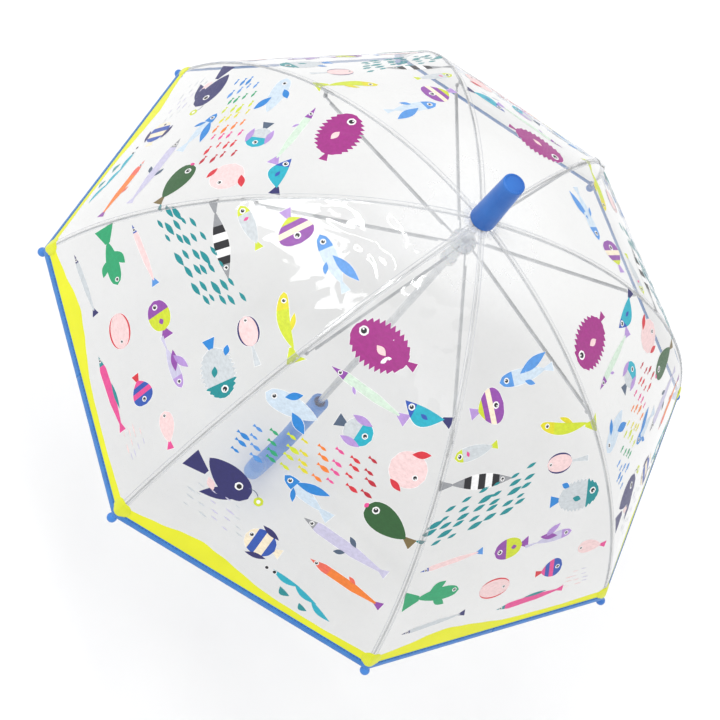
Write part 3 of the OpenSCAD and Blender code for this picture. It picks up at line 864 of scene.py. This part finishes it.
def crown_gather():
    """The film's gathered crown: a ruffled disc squeezed flat under the ferrule."""
    low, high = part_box("crown_patch")
    inner, outer = GATHER_HOLE, high.x + GATHER_OUT
    bm = bmesh.new()

    def place(x, y):
        turn, r = math.pi * x, inner + (outer - inner) * (1 - y) / 2
        free = smooth_step((r - GATHER_HELD) / (outer - GATHER_HELD))
        ruffle = math.sin(16 * turn) * 0.7 + math.sin(27 * turn + 1) * 0.5
        fall = (r / rib_radius(FALL_AT)) ** 2 * GATHER_FALL * MM
        edge = 1 + 0.05 * math.sin(11 * turn) * free
        z = low.z + GATHER_LIFT + free * (GATHER_WAVE * ruffle + GATHER_RISE) - fall * free
        return outward(turn) * r * edge + UP * z

    add_grid(bm, 160, 14, place)
    bmesh.ops.remove_doubles(bm, verts=bm.verts, dist=DOUBLES)
    bmesh.ops.recalc_face_normals(bm, faces=bm.faces)
    made = piece("crown_gather", bm, "shaft", SEAM_FILM)
    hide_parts("crown_patch")


STRAP_RIB = 5
STRAP_LONG = 62                 # in millimetres
STRAP_HALF = 5.5 * MM
STRAP_THICK = 0.8 * MM
STRAP_LIFT = 1.0 * MM
STRAP_SAG = 0.4 * MM
STRAP_SQUARE = 0.35             # how square the web's section is: 1 is an oval


def tie_strap():
    """Web strap sewn to the film beside a rib: a flat closed band that ends at the CAD strap's lowest point."""
    low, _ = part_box("tie_strap")
    end = (math.acos((low.z - arc_mid.y) / RIB_BEND) - crown_lean) * RIB_BEND
    start = end - STRAP_LONG * MM
    bm = bmesh.new()

    def place(x, y):
        turn = math.pi * y
        along = between(start, end, -x)
        sag = STRAP_SAG * math.sin(x * 7)
        w = STRAP_HALF * math.copysign(abs(math.cos(turn)) ** STRAP_SQUARE, math.cos(turn))
        edge = STRAP_THICK / 2 * math.copysign(abs(math.sin(turn)) ** STRAP_SQUARE, math.sin(turn))
        return beside_rib(STRAP_RIB, along, w, STRAP_LIFT + sag * 0.5 + edge)

    add_grid(bm, 40, 20, place, lambda x, y: (x * (STRAP_LONG / 2) * MM, y * 2 * STRAP_HALF))
    bmesh.ops.remove_doubles(bm, verts=bm.verts, dist=DOUBLES)
    bmesh.ops.holes_fill(bm, edges=[e for e in bm.edges if e.is_boundary], sides=0)
    bmesh.ops.recalc_face_normals(bm, faces=bm.faces)
    made = piece("strap_web", bm, f"rib_outer_{STRAP_RIB}", STRAP)
    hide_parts("tie_strap")


crown_gather()
tie_strap()
for panel in PANELS:
    declare_film(*panel)

# ---------------------------------------------------------------- finishes of the CAD nodes

FINISHES = {
    "shaft": SHAFT_STEEL, "ferrule": FERRULE_BLUE, "crown_notch": NYLON, "crown_wire": WIRE_STEEL,
    "top_catch": SHAFT_STEEL, "lower_catch": SHAFT_STEEL, "handle": HANDLE_BLUE, "runner": NYLON,
    "runner_wire": WIRE_STEEL, "snap_button": NYLON, "rib_inner": RIB_STEEL, "rib_outer": RIB_STEEL,
    "stretcher": CHANNEL_STEEL, "tip_cap": CAP_BLUE,
}
for name, node in frame["nodes"].items():
    kind = name.rstrip("_12345678")
    if kind in FINISHES:
        node.data.materials.clear()
        node.data.materials.append(FINISHES[kind])

# ---------------------------------------------------------------- camera, floor and lights

CAMERA_AT = (0.064, -0.737, 1.374)
CAMERA_AIM = Vector((0.0024, 0.0002, 0.188))
CAMERA_ROLL = math.radians(41.9)
CAMERA_LENS = 63.8
FLOOR_HALF = 9
FLOOR_GAP = 1 * MM      # between the floor and the handle's lowest point
LAMP_AIM = Vector((0, 0, 0.35))

camera = bpy.data.objects.new("camera", bpy.data.cameras.new("camera"))
bpy.context.scene.collection.objects.link(camera)
bpy.context.scene.camera = camera
camera.location = CAMERA_AT
camera.rotation_mode = "QUATERNION"
looks = (CAMERA_AIM - camera.location).to_track_quat("-Z", "Y")
camera.rotation_quaternion = looks @ Quaternion((0, 0, 1), CAMERA_ROLL)
camera.data.lens = CAMERA_LENS


def studio_floor():
    made, tree, shader = new_material("floor_white")
    tone = spread(tree, grain(tree, position(tree), 6), 0, 1)
    tree.links.new(blend_colours(tree, tone, linear(247, 247, 248), linear(250, 250, 250)),
                   shader.inputs["Base Color"])
    shader.inputs["Roughness"].default_value = 0.9
    bm = bmesh.new()
    bmesh.ops.create_grid(bm, x_segments=8, y_segments=8, size=FLOOR_HALF)
    bmesh.ops.translate(bm, verts=bm.verts, vec=UP * (CAD_BOX[0].z - FLOOR_GAP))
    mesh = bpy.data.meshes.new("floor")
    bm.to_mesh(mesh)
    bm.free()
    mesh.materials.append(made)
    floor = bpy.data.objects.new("floor", mesh)
    bpy.context.scene.collection.objects.link(floor)


def lamp(name, where, size, power):
    data = bpy.data.lights.new(name, "AREA")
    data.shape = "RECTANGLE"
    data.size, data.size_y = size
    data.energy = power
    made = bpy.data.objects.new(name, data)
    bpy.context.scene.collection.objects.link(made)
    made.location = where
    made.rotation_mode = "QUATERNION"
    made.rotation_quaternion = (LAMP_AIM - Vector(where)).to_track_quat("-Z", "Y")


studio_floor()
world = bpy.data.worlds.new("studio")
bpy.context.scene.world = world
world.use_nodes = True
world.node_tree.nodes["Background"].inputs["Color"].default_value = (1.0, 1.0, 1.0, 1)
world.node_tree.nodes["Background"].inputs["Strength"].default_value = 1.0
lamp("key", (-1.6, -0.6, 2.4), (0.5, 1.2), 11)
lamp("left_strip", (-0.75, 0.0, 1.95), (0.05, 0.6), 3.2)
lamp("crown_strip", (-0.2, -0.1, 2.0), (0.04, 0.5), 1.6)
lamp("top_fill", (0.8, -0.4, 2.6), (1.2, 1.2), 5)
bpy.context.scene.view_settings.view_transform = "Standard"
